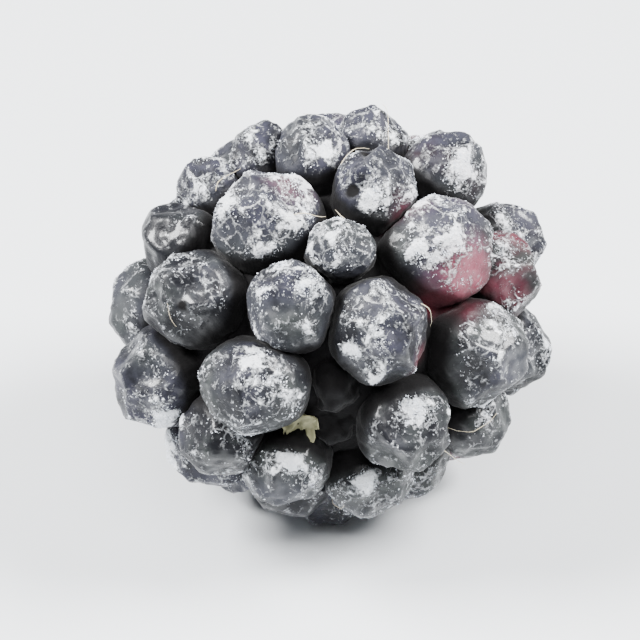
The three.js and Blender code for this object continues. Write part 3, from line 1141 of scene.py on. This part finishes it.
def receptaclePith():
    # torn pith: cream to orange and fibrous, stained by juice at its rim, browned at the scar,
    # and with a little rime
    material, tree, shader = newMaterial("receptaclePith")
    heart = addNode(tree, "ShaderNodeAttribute", {"attribute_name": "heart"}).outputs["Fac"]
    mottle = noiseOf(tree, 0.9, 5.0)
    fibres = noiseOf(tree, 0.22, 4.0)
    colour = mixColours(tree, fibres, hexColour("#8a5413"), hexColour("#dfae52"))
    stain = spreadTo(tree, heart, 0.0, 1.2, start=0.45, end=0.0)
    stained = addNode(tree, "ShaderNodeMath", {"operation": "MULTIPLY"}, in0=stain, in1=mottle)
    colour = mixColours(tree, stained.outputs[0], colour, hexColour("#b0485a"))
    scar = spreadTo(tree, heart, 0.0, 0.75, start=0.62, end=0.85)
    colour = mixColours(tree, scar, colour, hexColour("#7d6238"))
    rime = spreadTo(tree, noiseOf(tree, 0.35, 5.0), 0.0, 0.55, start=0.57, end=0.66)
    colour = mixColours(tree, rime, colour, hexColour("#efe9e2"))
    tree.links.new(colour, shader.inputs["Base Color"])
    tree.links.new(spreadTo(tree, mottle, 0.6, 0.9), shader.inputs["Roughness"])
    addRelief(tree, shader, fibres, 0.6, 0.0001)
    return material


def paleFloor():
    material, tree, shader = newMaterial("paleFloor")
    shader.inputs["Base Color"].default_value = hexColour("#d6d9dc")
    shader.inputs["Roughness"].default_value = 0.8
    return material


# Stage

studio = {
    "floorSize": 0.8,
    "worldStrength": 0.16,
    "lights": [
        # azimuth and elevation in degrees, distance and size in metres, watts
        (328, 46, 0.30, 0.12, 3.7),
        (152, 46, 0.30, 0.12, 3.4),
        (60, 64, 0.30, 0.16, 0.7),
    ],
}


def buildStage(aim):
    bpy.ops.object.select_all(action="DESELECT")
    bpy.ops.mesh.primitive_plane_add(size=studio["floorSize"], location=(0, 0, 0))
    floor = newPiece("floor")
    floor.data.materials.append(paleFloor())
    for azimuth, elevation, distance, size, watts in studio["lights"]:
        turn, rise = math.radians(azimuth), math.radians(elevation)
        level = math.cos(rise)
        out = Vector((math.sin(turn) * level, -math.cos(turn) * level, math.sin(rise)))
        place = Vector(aim) * mm + out * distance
        facing = out.to_track_quat("Z", "Y").to_euler()
        bpy.ops.object.light_add(type="AREA", location=place, rotation=facing)
        lamp = bpy.context.active_object
        lamp.data.size = size
        lamp.data.energy = watts
    world = bpy.data.worlds.new("studio")
    world.use_nodes = True
    background = world.node_tree.nodes["Background"]
    background.inputs["Color"].default_value = hexColour("#eef1f5")
    background.inputs["Strength"].default_value = studio["worldStrength"]
    bpy.context.scene.world = world


# Everything is made round the berry's middle, then moved into the frame

def finishPiece(piece, shift, material, replaced=None, smooth=True):
    writePoints(piece.data, readPoints(piece.data) + shift * mm)
    piece.data.materials.clear()
    piece.data.materials.append(material)
    makeActive(piece)
    if smooth:
        bpy.ops.object.shade_smooth()
    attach(piece, "root")
    if replaced:
        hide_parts(replaced)


drupelets = placedDrupelets()
growDrupelets(drupelets)
settleDrupelets(drupelets)
fillGaps(drupelets)
shapeDrupelets(drupelets)
for one in drupelets:
    one["facets"] = drawFacets(one)
    one["dish"] = facets["dish"][0] + (facets["dish"][1] - facets["dish"][0]) * (0.5 + 0.5 * draw())
    one["dimpled"] = draw() > 1 - 2 * skinForm["dimpleShare"]
    one["frost"] = 0.62 + 0.34 * draw()
    one["shade"] = 0.5 + 0.4 * draw()
    nearStalk = math.exp(-(angleBetween(one["way"], stalkWay) / 1.1) ** 2)
    one["blush"] = max(0.0, draw() - 0.72) / 0.28 * 0.6 + 0.75 * nearStalk * (1 + draw())
    one["rime"] = unit(np.array([0.7 * draw(), 0.7 * draw(), 1.0]))
    one["rimeStrength"] = 0.5 + 0.5 * draw()
for one, looks in zip(drupelets, faceLooks):
    one["frost"], one["shade"], one["blush"] = looks
    one["rimeStrength"] = 0.0
print("placed", len(drupelets), "drupelets")

head, shift = buildHead(drupelets)
points, normals, frost = dressHead(head, drupelets)
print("head", len(head.data.polygons), "faces, moved by", shift.round(3))

frostPiece = buildCrystals(head, points, normals, frost)
print("frost crystals", len(frostPiece.data.polygons), "faces")
threadPiece = buildThreads(points)
print("dried threads", len(threadPiece.data.polygons), "faces")
scrapPiece = buildScrap(points)
receptacle = buildReceptacle()
print("receptacle", len(receptacle.data.polygons), "faces")

finishPiece(head, shift, frozenSkin(), "drupelet_head")
finishPiece(frostPiece, shift, hoarFrost(), smooth=False)
finishPiece(threadPiece, shift, driedThread())
finishPiece(scrapPiece, shift, driedSepal())
finishPiece(receptacle, shift, receptaclePith(), "receptacle_end")

aim = (0, 0, halfHeight - berry["middleLift"])
buildStage(aim)
addCamera(aim)
print("stage, lights and camera are in")
